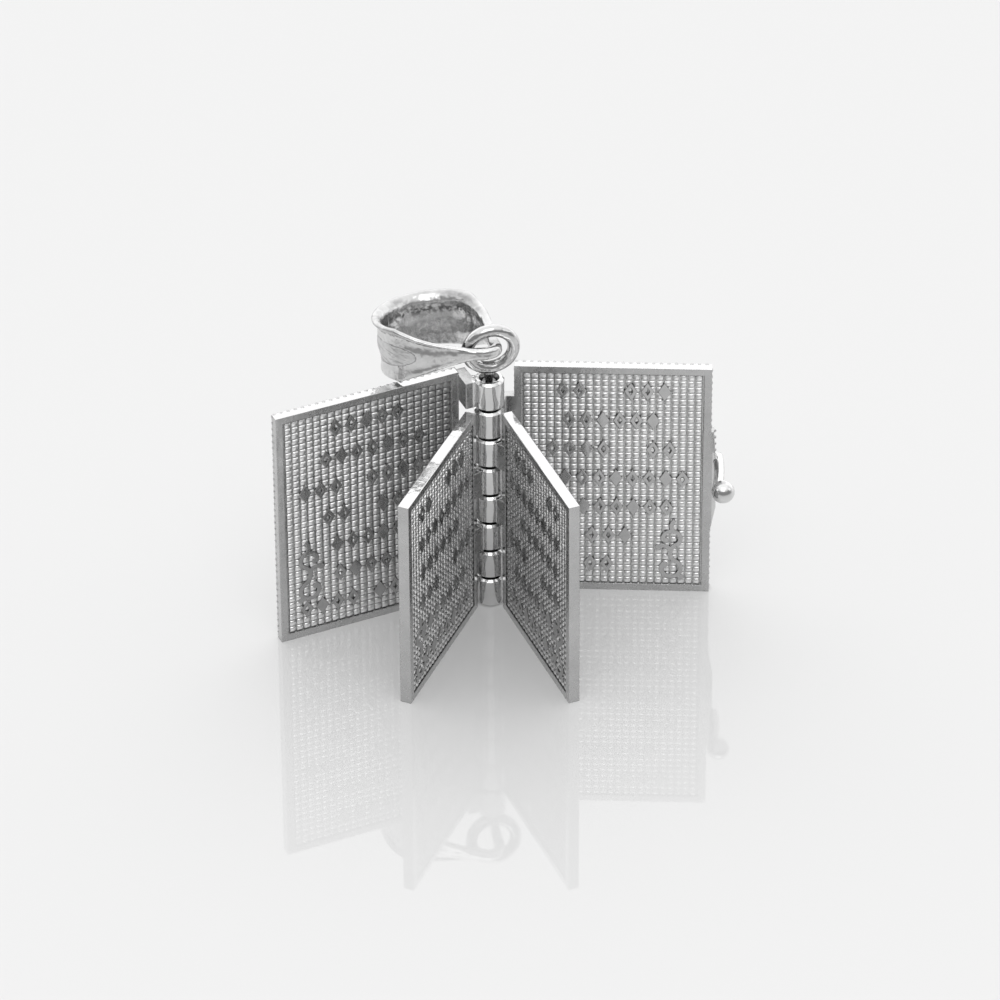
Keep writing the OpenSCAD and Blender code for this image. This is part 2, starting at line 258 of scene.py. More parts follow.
def grain(tree, place, size, detail=3.0, stretch=(1, 1, 1)):
    """Noise with features of the given size in metres, stretched along an axis where stretch is small."""
    mapping = tree.nodes.new("ShaderNodeMapping")
    mapping.inputs["Scale"].default_value = stretch
    tree.links.new(place, mapping.inputs["Vector"])
    noise = node_of(tree, "ShaderNodeTexNoise", Scale=1 / size, Detail=detail, Roughness=0.6)
    tree.links.new(mapping.outputs["Vector"], noise.inputs["Vector"])
    return noise.outputs["Fac"]


def blend(tree, factor, first, second, kind="MIX"):
    """Mixes two colours. Each is a socket or a triple of numbers."""
    made = tree.nodes.new("ShaderNodeMix")
    made.data_type = "RGBA"
    made.blend_type = kind
    for name, value in (("Factor", factor), ("A", first), ("B", second)):
        socket = next(s for s in made.inputs if s.name == name and s.enabled)
        if isinstance(value, bpy.types.NodeSocket):
            tree.links.new(value, socket)
        elif name == "Factor":
            socket.default_value = value
        else:
            socket.default_value = (*value, 1)
    return next(s for s in made.outputs if s.enabled)


def shaded(tree, tint, brightness):
    """A colour times a brightness socket."""
    return blend(tree, 1.0, tint, brightness, "MULTIPLY")


def pattern(tree, place, name, dark, light):
    """One of the patterns in the silver, which runs from dark to light."""
    size, detail, low, high = PATTERNS[name]
    return ramp(tree, grain(tree, place, size * MM, detail), low, high, dark, light)


def silver(name, colour, rough, soft=0.0, waves=0.02, stretch=(1, 1, 1), regions=None, engraved=False,
           painted_shade=None, flecked=0.0, hollow=None):
    """Silver that is darker in its hollows, from patina and painted shade, with fine pores and the swells
    that hand polishing leaves.

    soft is the width of the rounding on its edges, waves the depth of the swells in millimetres, and
    stretch is small along an axis where they are long.
    regions, where given, makes three sockets: 1 on the polished part, 1 on the ground and marks of a
    field, and 1 on the barrel. Its last value is the brightness of the ground.
    engraved is for the bail, whose mesh has the attributes that engraving() reads.
    Painted shade, where given, is the brightness near the hinge axis and far from it.
    flecked is how much darker the dull flecks are, and hollow how far the darkening reaches out of a
    recess.
    """
    shiniest, dullest = 0.85, 1.2  # roughness of such spots against the mean
    field_rough = 0.6  # against the plate's
    blotch = 0.88

    finish = bpy.context.scene.charm_finish
    patina_and_shade = tuple(finish.patina_and_shade)
    material = bpy.data.materials.new(name)
    material.use_nodes = True
    tree = material.node_tree
    surface = tree.nodes["Principled BSDF"]
    surface.inputs["Metallic"].default_value = 1.0
    place = tree.nodes.new("ShaderNodeTexCoord").outputs["Object"]

    tint = tuple(colour)
    worn = pattern(tree, place, "wear", rough * shiniest, rough * dullest)
    # Painted shade: pillows darker near the hinge, where the leaves shade each other
    if painted_shade:
        near, far = [reach * MM for reach in PAINTED_SHADE_REACH]
        tint = shaded(tree, tint, ramp(tree, axis_distance(tree, place), near, far, *painted_shade))
    if flecked:
        tint = shaded(tree, tint, pattern(tree, place, "flecks", 1 - flecked, 1.0))
    barrel = scored = None
    if regions:
        part, field, barrel, ground = regions(tree, place)
        tint = blend(tree, part, tint, tuple(finish.burnished))
        # The ground's brightness, below the cast silver's on the shaded leaves, is painted shade
        tint = blend(tree, field, tint, (ground, ground, ground))
        worn = calc(tree, "MULTIPLY", worn, ramp(tree, part, 0, 1, 1, finish.polished_rough / rough))
        worn = calc(tree, "MULTIPLY", worn, ramp(tree, field, 0, 1, 1, field_rough))
    if engraved:
        tint, worn, scored = engraving(tree, place, tint, worn, patina_and_shade)
    # Patina and painted shade in the recesses
    tint = blend(tree, clean_and_lit(tree, hollow), patina_and_shade, tint)
    tint = shaded(tree, tint, pattern(tree, place, "blotches", blotch, 1.0))
    normal = silver_normal(tree, place, soft, waves, stretch, barrel, scored)
    for socket, source in (("Base Color", tint), ("Roughness", worn), ("Normal", normal)):
        tree.links.new(source, surface.inputs[socket])
    return material


def clean_and_lit(tree, hollow):
    """1 in the open and 0 deep in a recess, where patina and painted shade darken the silver. hollow is
    the reach, where it is not the usual one.
    """
    shut_in, open_enough, wide_open = 0.15, 0.6, 0.9
    usual = bpy.context.scene.charm_finish.hollow
    open_sky = node_of(tree, "ShaderNodeAmbientOcclusion", Distance=hollow or usual)
    open_sky.samples = SHADER_SAMPLES
    # A wider reach meets more of the charm itself, so that only a very open spot counts as clean; inside
    # the ring and the bail the darkening is then painted shade as well as tarnish
    return ramp(tree, open_sky.outputs["AO"], shut_in, wide_open if hollow else open_enough, 0.0, 1.0)


def silver_normal(tree, place, soft, waves, stretch, barrel, scored):
    """Normal of the silver: rounded edges under the swells, any engraving and the pores."""
    barrel_swell = 2.5  # against the plate's
    pore_strength = 0.3
    rounded = None
    if soft:
        bevel = node_of(tree, "ShaderNodeBevel", Radius=soft)
        bevel.samples = SHADER_SAMPLES
        rounded = bevel.outputs["Normal"]
    size, detail = SWELLS
    swells = grain(tree, place, size * MM, detail, stretch)
    if barrel:
        swells = calc(tree, "MULTIPLY", swells, ramp(tree, barrel, 0, 1, 1, barrel_swell))
    waved = bump(tree, swells, 1.0, waves * MM, rounded)
    if scored:
        tree.links.new(waved, scored.node.inputs["Normal"])
        waved = scored
    size, detail, depth = PORES
    return bump(tree, grain(tree, place, size * MM, detail), pore_strength, depth * MM, waved)


def engraving(tree, place, tint, worn, patina_and_shade):
    """Colour, roughness and normal of the bail.

    It reads the mesh attributes frost, 1 where it is engraved, stain, 1 where it is darkened, which is
    mostly painted shade in its crease and inside, and lip, 1 on the rolled rim, which is greyed in
    patches.
    """
    rougher, roughest = 0.12, 0.3  # added on the plain metal and in the engraving
    along_band = (0.2, 0.2, 1)
    border_at, border_end = 0.3, 0.9  # frost in the middle and at the inner end of the engraving's border
    stroke_from, stroke_full = 0.5, 0.62
    least_grey, most_grey = 0.2, 0.5

    frost, stain_and_shade, lip = [attribute(tree, name) for name in ("frost", "stain_and_shade", "lip")]
    worn = calc(tree, "ADD", worn, ramp(tree, frost, 0, 1, rougher, roughest))
    size, detail, depth = STROKES
    strokes = grain(tree, place, size * MM, detail, along_band)
    dark = calc(tree, "MULTIPLY", lip, pattern(tree, place, "greying", least_grey, most_grey))
    # Each mark and how dark it is at the most
    for mask, within, most in (
            (ramp(tree, frost, 0.0, border_at, 0, 1),
             ramp(tree, frost, border_at, border_end, 1, 0), 0.85),
            # Painted shade, broken into specks, in the bail's crease and inside
            (stain_and_shade, pattern(tree, place, "specks", 0, 1), 0.8),
            (frost, ramp(tree, strokes, stroke_from, stroke_full, 0, 1), 0.45)):
        mark = calc(tree, "MULTIPLY", calc(tree, "MULTIPLY", mask, within), most)
        dark = calc(tree, "MAXIMUM", dark, mark)
    scored = bump(tree, calc(tree, "MULTIPLY", strokes, frost), 1.0, depth * MM)
    return blend(tree, dark, tint, patina_and_shade), worn, scored


def axis_distance(tree, place):
    """Distance of a point from the hinge axis."""
    apart = tree.nodes.new("ShaderNodeSeparateXYZ")
    tree.links.new(place, apart.inputs["Vector"])
    squares = [calc(tree, "MULTIPLY", apart.outputs[a], apart.outputs[a]) for a in "XY"]
    return calc(tree, "SQRT", calc(tree, "ADD", *squares))


def attribute(tree, name):
    """The value of a mesh attribute."""
    made = tree.nodes.new("ShaderNodeAttribute")
    made.attribute_name = name
    return made.outputs["Fac"]


def bump(tree, height, strength, distance, normal=None):
    """A normal bent by a height socket."""
    made = node_of(tree, "ShaderNodeBump", Strength=strength, Distance=distance)
    tree.links.new(height, made.inputs["Height"])
    if normal:
        tree.links.new(normal, made.inputs["Normal"])
    return made.outputs["Normal"]


def leaf_regions(leaf):
    """A function that makes the regions of a leaf's silver and gives the brightness of its ground."""
    plate = leaf["plate"]
    turn = math.radians(leaf["direction"])

    def regions(tree, place):
        apart = tree.nodes.new("ShaderNodeSeparateXYZ")
        tree.links.new(place, apart.inputs["Vector"])
        x, y, z = [apart.outputs[a] for a in "XYZ"]

        def turned(cos, sin):
            return calc(tree, "ADD", calc(tree, "MULTIPLY", x, cos), calc(tree, "MULTIPLY", y, sin))

        def between(value, low_mm, high_mm):
            return calc(tree, "MULTIPLY", calc(tree, "GREATER_THAN", value, low_mm * MM),
                        calc(tree, "LESS_THAN", value, high_mm * MM))

        along = turned(math.cos(turn), math.sin(turn))
        off_plane = turned(-math.sin(turn) * leaf["flip"], math.cos(turn) * leaf["flip"])
        from_axis = axis_distance(tree, place)
        inside, outside = [reach * MM for reach in BARREL_EDGE]
        barrel = ramp(tree, from_axis, inside, outside, 1.0, 0.0)
        corner = math.hypot(COVER["start"] + COVER["width"], COVER["outer"] + CORNER_BEADS)
        sets_in, full = [(corner + past) * MM for past in CLASP_EDGE]
        clasp = calc(tree, "MULTIPLY", calc(tree, "LESS_THAN", z, CLASP_TOP * MM),
                     ramp(tree, from_axis, sets_in, full, 0.0, 1.0))
        top = calc(tree, "GREATER_THAN", z, (plate["height"] - TOP_SKIN) * MM)
        polished = calc(tree, "MAXIMUM", top, calc(tree, "MAXIMUM", barrel, clasp))
        edge = bpy.context.scene.charm_relief.frame_w / MM
        across = between(along, plate["start"] + edge, plate["start"] + plate["width"] - edge)
        field = calc(tree, "MULTIPLY", between(off_plane, 0, plate["field_reach"]), calc(
            tree, "MULTIPLY", across, between(z, edge, plate["height"] - edge)))
        return polished, field, barrel, leaf["ground"]

    return regions


def cast_silver():
    """Satin silver of all the beads."""
    finish = bpy.context.scene.charm_finish
    return bpy.data.materials.get("cast_metal") or silver("cast_metal", finish.cast, finish.cast_rough)


def pillow_silver(name):
    """Silver of a leaf's pillows, with painted shade where the leaves shade each other."""
    finish = bpy.context.scene.charm_finish
    leaf = LEAVES[name]
    look = COVER_PILLOWS if leaf["plate"] is COVER else PAGE_PILLOWS
    return silver(f"{name}_pillow_metal", (1, 1, 1), look["rough"] * finish.cast_rough,
                  waves=look["waves"], painted_shade=leaf["painted_shade"], flecked=look["flecked"])


def polished_silver():
    """Silver of the ring and the pin."""
    finish = bpy.context.scene.charm_finish
    return silver("polished_metal", finish.polished, finish.polished_rough, waves=0.08,
                  hollow=finish.ring_hollow)


def bail_silver():
    """Silver of the bail."""
    finish = bpy.context.scene.charm_finish
    return silver("bail_metal", finish.burnished, finish.polished_rough, waves=0.1, engraved=True,
                  hollow=finish.ring_hollow)


def leaf_silver(name):
    """Satin on the plate, polished on barrel, clasp and top edge, with painted shade on the fields'
    ground.
    """
    scene = bpy.context.scene
    finish = scene.charm_finish
    return silver(f"{name}_metal", finish.cast, finish.cast_rough, soft=scene.charm_relief.soft_edge,
                  waves=0.03, stretch=(1, 1, 0.25), regions=leaf_regions(LEAVES[name]))


def coat(node, material):
    """Puts the material in all slots of a node of the frame."""
    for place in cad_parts[node].material_slots:
        place.material = material


# Mesh helpers

def add_piece(name, mesh, body):
    """A finished mesh as a piece of the charm that moves with a body."""
    made = bpy.data.objects.new(name, mesh)
    bpy.context.scene.collection.objects.link(made)
    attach(made, body)
    return made


def face_matrix(leaf, outer, height_mm):
    """Frame of a leaf's face, height_mm from the axis plane: X across it, Y up and Z out of it."""
    plate = leaf["plate"]
    turn = Matrix.Rotation(math.radians(leaf["direction"]), 4, "Z")
    middle = Vector((plate["start"] + plate["width"] / 2, leaf["flip"] * height_mm,
                     plate["height"] / 2)) * MM
    out = (turn @ Vector((0, leaf["flip"] * (1 if outer else -1), 0))).normalized()
    up = Vector((0, 0, 1))
    across = up.cross(out)
    made = Matrix((across, up, out)).transposed().to_4x4()
    made.translation = turn @ middle
    return made


def baked(source, name):
    """The evaluated object as a plain mesh. The object that carried the modifier is removed."""
    source.update_tag()
    graph = bpy.context.evaluated_depsgraph_get()
    mesh = bpy.data.meshes.new_from_object(source.evaluated_get(graph))
    mesh.name = name
    bpy.data.objects.remove(source)
    return mesh


def joined(meshes, name):
    """Several meshes as one."""
    work = bmesh.new()
    for mesh in meshes:
        work.from_mesh(mesh)
    made = bpy.data.meshes.new(name)
    work.to_mesh(made)
    work.free()
    for material in meshes[0].materials:
        made.materials.append(material)
    for face in made.polygons:
        face.use_smooth = meshes[0].polygons[0].use_smooth
    return made


def with_nodes(name, tree, values, mesh=None):
    """An object that carries the node tree as a modifier, with its inputs set by their identifiers."""
    carrier = bpy.data.objects.new(name, mesh or bpy.data.meshes.new(name))
    bpy.context.scene.collection.objects.link(carrier)
    modifier = carrier.modifiers.new(name, "NODES")
    modifier.node_group = tree
    for item in tree.interface.items_tree:
        if item.item_type == "SOCKET" and item.in_out == "INPUT" and item.name in values:
            modifier[item.identifier] = values[item.name]
    return carrier


def new_tree(name, inputs):
    """A geometry tree with the named inputs and a geometry output, and the sockets of its inputs."""
    tree = bpy.data.node_groups.new(name, "GeometryNodeTree")
    tree.interface.new_socket("Geometry", in_out="OUTPUT", socket_type="NodeSocketGeometry")
    for label, kind in inputs:
        tree.interface.new_socket(label, in_out="INPUT", socket_type=kind)
    start = tree.nodes.new("NodeGroupInput")
    tree.nodes.new("NodeGroupOutput")
    return tree, start.outputs


def pillow(tree, given):
    """One pillow with a slightly crowned top and steep flanks."""
    cuts = 5  # points along each side
    inner = 0.4  # the points nearer the middle than this share of the width form the top
    crown = 0.24  # how steeply the top falls away
    foot = 0.98  # how far the outer points come down, against the height
    link = tree.links.new
    size = tree.nodes.new("ShaderNodeCombineXYZ")
    link(calc(tree, "MULTIPLY", given["Pitch across"], given["Fill across"]), size.inputs["X"])
    link(calc(tree, "MULTIPLY", given["Pitch up"], given["Fill up"]), size.inputs["Y"])
    link(calc(tree, "MULTIPLY", given["Height"], 2), size.inputs["Z"])
    block = node_of(tree, "GeometryNodeMeshCube", Vertices_X=cuts, Vertices_Y=cuts, Vertices_Z=2)
    link(size.outputs["Vector"], block.inputs["Size"])

    spot = tree.nodes.new("GeometryNodeInputPosition")
    apart = tree.nodes.new("ShaderNodeSeparateXYZ")
    link(spot.outputs["Position"], apart.inputs["Vector"])
    limits = tree.nodes.new("ShaderNodeSeparateXYZ")
    link(size.outputs["Vector"], limits.inputs["Vector"])
    # 0 in the middle, 0.25 half way out and 0.5 at the foot
    off_middle = [calc(tree, "DIVIDE", calc(tree, "ABSOLUTE", apart.outputs[axis]), limits.outputs[axis])
                  for axis in "XY"]
    inside = calc(tree, "LESS_THAN", calc(tree, "MAXIMUM", *off_middle), inner)
    top = calc(tree, "GREATER_THAN", apart.outputs["Z"], 0)
    # The half-way points move out, so that the top is wide and the flanks are steep
    aside, along = [
        calc(tree, "MULTIPLY", inside, calc(tree, "MULTIPLY", apart.outputs[axis], given[spread]))
        for axis, spread in (("X", "Spread across"), ("Y", "Spread up"))]
    fall = calc(tree, "MULTIPLY", calc(tree, "ADD", *off_middle), crown)
    drop = calc(tree, "ADD", calc(tree, "MULTIPLY", inside, fall), calc(tree, "SUBTRACT", 1, inside))
    sink = calc(tree, "MULTIPLY", calc(tree, "MULTIPLY", top, drop),
                calc(tree, "MULTIPLY", given["Height"], -foot))
    shift = tree.nodes.new("ShaderNodeCombineXYZ")
    for axis, way in (("X", aside), ("Y", along), ("Z", sink)):
        link(way, shift.inputs[axis])
    shaped = tree.nodes.new("GeometryNodeSetPosition")
    link(block.outputs["Mesh"], shaped.inputs["Geometry"])
    link(shift.outputs["Vector"], shaped.inputs["Offset"])
    return shaped.outputs["Geometry"]


def waffle_tree():
    """Pillows in a grid."""
    ready = bpy.data.node_groups.get("waffle")
    if ready:
        return ready
    sizes = ("Pitch across", "Pitch up", "Fill across", "Fill up", "Height", "Spread across", "Spread up")
    tree, given = new_tree("waffle", [
        ("Columns", "NodeSocketInt"), ("Rows", "NodeSocketInt"),
        *((size, "NodeSocketFloat") for size in sizes),
        ("Seed", "NodeSocketInt"), ("Material", "NodeSocketMaterial")])
    link = tree.links.new
    grid = tree.nodes.new("GeometryNodeMeshGrid")
    for side, count, pitch in (("X", "Columns", "Pitch across"), ("Y", "Rows", "Pitch up")):
        link(given[count], grid.inputs[f"Vertices {side}"])
        link(calc(tree, "MULTIPLY", given[pitch], calc(tree, "SUBTRACT", given[count], 1)),
             grid.inputs[f"Size {side}"])
    least, most = (0.93, 0.93, 0.9), (1.05, 1.05, 1.0)  # scale of a pillow
    scatter(tree, grid.outputs["Mesh"], pillow(tree, given), least, most)
    return tree


def scatter(tree, points, instance, least, most):
    """Sets the instance on each point at a random scale, and makes all real and of one material."""
    link = tree.links.new
    given = tree.nodes["Group Input"].outputs
    smooth = tree.nodes.new("GeometryNodeSetShadeSmooth")
    link(instance, smooth.inputs["Geometry"])
    uneven = tree.nodes.new("FunctionNodeRandomValue")
    uneven.data_type = "FLOAT_VECTOR"
    uneven.inputs[0].default_value = least
    uneven.inputs[1].default_value = most
    link(given["Seed"], uneven.inputs["Seed"])
    placed = tree.nodes.new("GeometryNodeInstanceOnPoints")
    link(points, placed.inputs["Points"])
    link(smooth.outputs["Geometry"], placed.inputs["Instance"])
    link(uneven.outputs["Value"], placed.inputs["Scale"])
    real = tree.nodes.new("GeometryNodeRealizeInstances")
    link(placed.outputs["Instances"], real.inputs["Geometry"])
    coated = tree.nodes.new("GeometryNodeSetMaterial")
    link(real.outputs["Geometry"], coated.inputs["Geometry"])
    link(given["Material"], coated.inputs["Material"])
    link(coated.outputs["Geometry"], tree.nodes["Group Output"].inputs["Geometry"])


def bead_tree():
    """Beads along the edges of the carrier's mesh."""
    ready = bpy.data.node_groups.get("beads")
    if ready:
        return ready
    tree, given = new_tree("beads", [
        ("Rail", "NodeSocketGeometry"), ("Radius", "NodeSocketFloat"), ("Pitch", "NodeSocketFloat"),
        ("Seed", "NodeSocketInt"), ("Material", "NodeSocketMaterial")])
    link = tree.links.new
    path = tree.nodes.new("GeometryNodeMeshToCurve")
    link(given["Rail"], path.inputs["Mesh"])
    spaced = tree.nodes.new("GeometryNodeResampleCurve")
    spaced.mode = "LENGTH"
    link(path.outputs["Curve"], spaced.inputs["Curve"])
    link(given["Pitch"], spaced.inputs["Length"])
    bead = node_of(tree, "GeometryNodeMeshUVSphere", Segments=12, Rings=8)
    link(given["Radius"], bead.inputs["Radius"])
    least, most = (0.9, 0.9, 0.9), (1.0, 1.0, 1.0)  # scale of a bead
    scatter(tree, spaced.outputs["Curve"], bead.outputs["Mesh"], least, most)
    return tree


class CHARM_OT_leaves(bpy.types.Operator):
    """Gives the covers and pages their silver"""
    bl_idname = "charm.leaves"
    bl_label = "Leaves"

    def execute(self, context):
        for name in LEAVES:
            coat(name, leaf_silver(name))
        return {"FINISHED"}


class CHARM_OT_fields(bpy.types.Operator):
    """Lays the waffle pillows on the fields of the covers and pages"""
    bl_idname = "charm.fields"
    bl_label = "Waffle fields"

    def execute(self, context):
        relief = context.scene.charm_relief
        depth = relief.field_depth / MM
        for number, (name, leaf) in enumerate(LEAVES.items()):
            plate = leaf["plate"]
            is_cover = plate is COVER
            across = relief.cover_pitch_across if is_cover else relief.page_pitch_across
            up = relief.cover_pitch_up if is_cover else relief.page_pitch_up
            room = [plate[k] * MM - 2 * relief.frame_w for k in ("width", "height")]
            values = {
                "Columns": int(room[0] / across), "Rows": int(room[1] / up),
                "Pitch across": across, "Pitch up": up,
                "Fill across": relief.fill_across, "Fill up": relief.fill_up,
                "Spread across": relief.spread_across, "Spread up": relief.spread_up,
                "Height": relief.pillow_h, "Material": pillow_silver(name)}
            meshes = []
            for outer in ([False] if is_cover else [False, True]):
                values["Seed"] = 2 * number + outer
                floor = plate["outer"] - depth if outer else plate["inner"] + depth
                mesh = baked(with_nodes("waffle_carrier", waffle_tree(), values), f"{name}_waffle_{outer}")
                mesh.transform(face_matrix(leaf, outer, floor))
                meshes.append(mesh)
            add_piece(f"{name}_waffle", joined(meshes, f"{name}_waffle"), name)
        return {"FINISHED"}


class CHARM_OT_beads(bpy.types.Operator):
    """Sets the beads on the rails of the covers' outer faces and down the clasp's strip"""
    bl_idname = "charm.beads"
    bl_label = "Bead rails"

    def execute(self, context):
        relief = context.scene.charm_relief
        inset = relief.bead_d / 2 - relief.bead_out
        for number, name in enumerate(("front_cover", "back_cover")):
            wide, tall = [COVER[k] * MM / 2 - inset for k in ("width", "height")]
            corners = [(-wide, -tall, 0), (wide, -tall, 0), (wide, tall, 0), (-wide, tall, 0)]
            mesh = bead_run(corners, True, relief.bead_d, number)
            mesh.transform(face_matrix(LEAVES[name], True, COVER["outer"] + RAIL_LIFT))
            meshes = [mesh]
            if name == "back_cover":
                edge = (COVER["start"] + COVER["width"]) * MM
                ends = [(edge + x * MM, STRIP_PLANE * MM, z * MM) for x, z in STRIP_BEADS]
                strip = bead_run(ends, False, relief.strip_bead_d, number)
                strip.transform(Matrix.Rotation(math.radians(LEAVES[name]["direction"]), 4, "Z"))
                meshes.append(strip)
            add_piece(f"{name}_beads", joined(meshes, f"{name}_beads"), name)
        return {"FINISHED"}


def bead_run(corners, closed, diameter, seed):
    """Beads along a path of corners."""
    relief = bpy.context.scene.charm_relief
    rail = bpy.data.meshes.new("rail")
    edges = [(i, i + 1) for i in range(len(corners) - 1)]
    if closed:
        edges.append((len(corners) - 1, 0))
    rail.from_pydata(corners, edges, [])
    values = {"Radius": diameter / 2, "Pitch": relief.bead_pitch, "Seed": seed, "Material": cast_silver()}
    return baked(with_nodes("bead_carrier", bead_tree(), values, rail), "bead_run")


class CHARM_OT_bail(bpy.types.Operator):
    """Builds the smooth flared bail"""
    bl_idname = "charm.bail"
    bl_label = "Bail"

    def execute(self, context):
        bail = context.scene.charm_bail
        mesh = bail_mesh(bail)
        mesh.materials.append(bail_silver())
        place = (Matrix.Translation(bail.place) @ Matrix.Rotation(bail.turn, 4, "Z")
                 @ Matrix.Rotation(bail.dip, 4, "Y") @ Matrix.Rotation(bail.lean, 4, "X"))
        mesh.transform(place)
        made = add_piece("bail_band", mesh, "front_cover")
        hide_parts("bail")
        return {"FINISHED"}


def bail_outline(bail, wide_r, tip_x, wide_x):
    """Plan of the band's middle as (x, y, direction it faces): tip, a side, wide end and a side."""
    tip_steps, side_steps, end_steps = 30, 50, 130
    slope = math.asin((wide_r - bail.tip_r) / (tip_x - wide_x))
    turn = math.pi / 2 - slope

    def on(centre, r, a):
        return centre + r * math.cos(a), r * math.sin(a)

    def arc(centre, r, start, stop, steps):
        angles = [start + (stop - start) * i / steps for i in range(steps)]
        return [(*on(centre, r, a), a) for a in angles]

    def side(start, stop, a, steps):
        return [(*(p + (q - p) * i / steps for p, q in zip(start, stop)), a) for i in range(steps)]

    return (arc(tip_x, bail.tip_r, -turn, turn, tip_steps)
            + side(on(tip_x, bail.tip_r, turn), on(wide_x, wide_r, turn), turn, side_steps)
            + arc(wide_x, wide_r, turn, 2 * math.pi - turn, end_steps)
            + side(on(wide_x, wide_r, -turn), on(tip_x, bail.tip_r, -turn), -turn, side_steps))


def eased(outline, tip_x, wide_x):
    """The outline with the joins between its sides and its wide end eased by averaging."""
    most = 18  # points on each side that are averaged
    tip_gain = 3
    end_from, end_loss, end_least = 2.1, 1.3, 0.3
    count = len(outline)
    made = []
    for i, (x, _y, _facing) in enumerate(outline):
        share = max(0.0, (tip_x - x) / (tip_x - wide_x))
        # The tip keeps its loop, and the wide end most of its width
        off_tip = tip_gain * share
        off_end = max(end_least, end_from - end_loss * share)
        reach = round(most * min(1.0, off_tip, off_end))
        near = [outline[(i + k) % count] for k in range(-reach, reach + 1)]
        across = sum(math.cos(a) for _x, _y, a in near)
        along = sum(math.sin(a) for _x, _y, a in near)
        made.append((sum(p[0] for p in near) / len(near), sum(p[1] for p in near) / len(near),
                     math.atan2(along, across)))
    return made


def stadium(tall, round_h):
    """Section of the band as (side, height): outer face (side 1), over the top, inner face (-1)."""
    straight = tall / 2 - round_h
    face_steps, cap_steps = 40, 10
    up = [(1.0, straight * (2 * i / face_steps - 1)) for i in range(face_steps)]
    turns = [math.pi * i / cap_steps for i in range(cap_steps)]
    over = [(math.cos(a), straight + round_h * math.sin(a)) for a in turns]
    half = up + over
    return half + [(-side, -height) for side, height in half]


def leaf_share(along_mm, half_long_mm, height):
    """1 inside the engraved leaf on the band's wide end and 0 outside. height runs from -1 to 1."""
    long, middle, tall, fuller = 6.75, -0.04, 0.4, 0.14
    taper, square_ends, square_sides, soft = 1.3, 9, 2.6, 0.12
    reach = abs(along_mm - half_long_mm) / long
    rise = abs(height - middle) / (tall + fuller * max(0.0, 1 - reach * taper))
    edge = reach ** square_ends + rise ** square_sides
    return max(0.0, min(1.0, (1 - edge) / soft))


def hump(value, middle, width):
    """1 at the middle, and less the further a value is from it."""
    return math.exp(-((value - middle) / width) ** 2)


def wall_profile(bail, v, share, outside):
    """How far the wall stands out at height v, from -1 to 1, and its swell against half its thickness."""
    belly_middle, belly_span = 0.05, 1.5
    rolled, opened, thinner = 0.55, 0.2, 0.18
    sets_in = 4  # the swell is full a quarter of the way from the lug
    flare = bail.flare * v ** 3 if v > 0 else bail.lower_flare * v * v
    belly = bail.belly * max(0.0, math.cos(math.pi * (v - belly_middle) / belly_span)) ** 2
    # The rim is rolled outwards, and the inner face opens out to meet it
    swell = rolled * hump(v, *RIM) if outside else -opened * max(0.0, v) ** 4
    return share * (flare + belly), min(1.0, sets_in * share) * (swell - thinner)


def wall_stain_and_shade(v, share, outside):
    """Darkening at height v: a little all over, painted shade in the crease, and inside in a band and low
    down.
    """
    all_over, in_crease, in_shade, low_down = 0.1, 1.5, 1.3, 0.6
    low_edge = 0.2  # the height that the dullness low down starts at
    sets_in = 5  # the crease is full a fifth of the way from the lug
    if outside:
        return all_over * share + in_crease * hump(v, *CREASE) * min(1.0, sets_in * share)
    return (in_shade * hump(v, *SHADE) + low_down * max(0.0, low_edge - v)) * share


def bail_mesh(bail):
    """The band swept round its outline, with rolled rims and a shallow leaf engraved in its outer face."""
    taper, most_rounding = 1.3, 0.38
    wide_r = (bail.wide - bail.wall_t) / 2
    tip_x = -bail.tip_r
    wide_x = bail.lug_t / 2 + bail.wall_t / 2 + wide_r - bail.long
    outline = eased(bail_outline(bail, wide_r, tip_x, wide_x), tip_x, wide_x)
    steps = [math.dist(p[:2], outline[i - 1][:2]) for i, p in enumerate(outline)]
    half_long = sum(steps) / 2 / MM
    points, frost, stain_and_shade, lip = [], [], [], []
    walked = -steps[0]
    for (x, y, facing), step in zip(outline, steps):
        walked += step
        # 0 at the lug and 1 from the middle of the wide end on
        share = max(0.0, min(1.0, (tip_x - x) / (tip_x - wide_x)))
        tall = bail.lug_h + (bail.tall - bail.lug_h) * share ** taper
        # The lug's thickness has gone half way
        thick = bail.lug_t + (bail.wall_t - bail.lug_t) * min(1.0, 2 * share)
        for side, up in stadium(tall, min(bail.rim_r, most_rounding * tall)):
            v = 2 * up / tall
            stands, swell = wall_profile(bail, v, share, side > 0)
            leaf = leaf_share(walked / MM, half_long, v) if side > 0 else 0.0
            out = stands + side * (thick / 2 * (1 + swell)) - leaf * bail.engraving
            points.append((x + out * math.cos(facing), y + out * math.sin(facing), up))
            frost.append(leaf)
            stain_and_shade.append(wall_stain_and_shade(v, share, side > 0))
            lip.append(hump(v, *RIM) * share)
    count = len(outline)
    around = len(points) // count
    faces = [(i * around + j, (i + 1) % count * around + j, (i + 1) % count * around + (j + 1) % around,
              i * around + (j + 1) % around) for i in range(count) for j in range(around)]
    mesh = bpy.data.meshes.new("bail_band")
    mesh.from_pydata(points, [], faces)
    for name, values in (("frost", frost), ("stain_and_shade", stain_and_shade), ("lip", lip)):
        mesh.attributes.new(name, "FLOAT", "POINT").data.foreach_set("value", values)
    mesh.shade_smooth()
    return mesh


class CHARM_OT_ring_pin(bpy.types.Operator):
    """Polishes the ring and the hinge pin"""
    bl_idname = "charm.ring_pin"
    bl_label = "Ring and pin"

    def execute(self, context):
        coat("ring_pin", polished_silver())
        return {"FINISHED"}


class CHARM_OT_stage(bpy.types.Operator):
    """Makes the white table, the soft light and the camera"""
    bl_idname = "charm.stage"
    bl_label = "Stage"

    def execute(self, context):
        stage = context.scene.charm_stage
        make_floor()
        make_world(context.scene)
        make_lights()
        make_camera(stage)
        context.scene.view_settings.view_transform = "Standard"
        return {"FINISHED"}


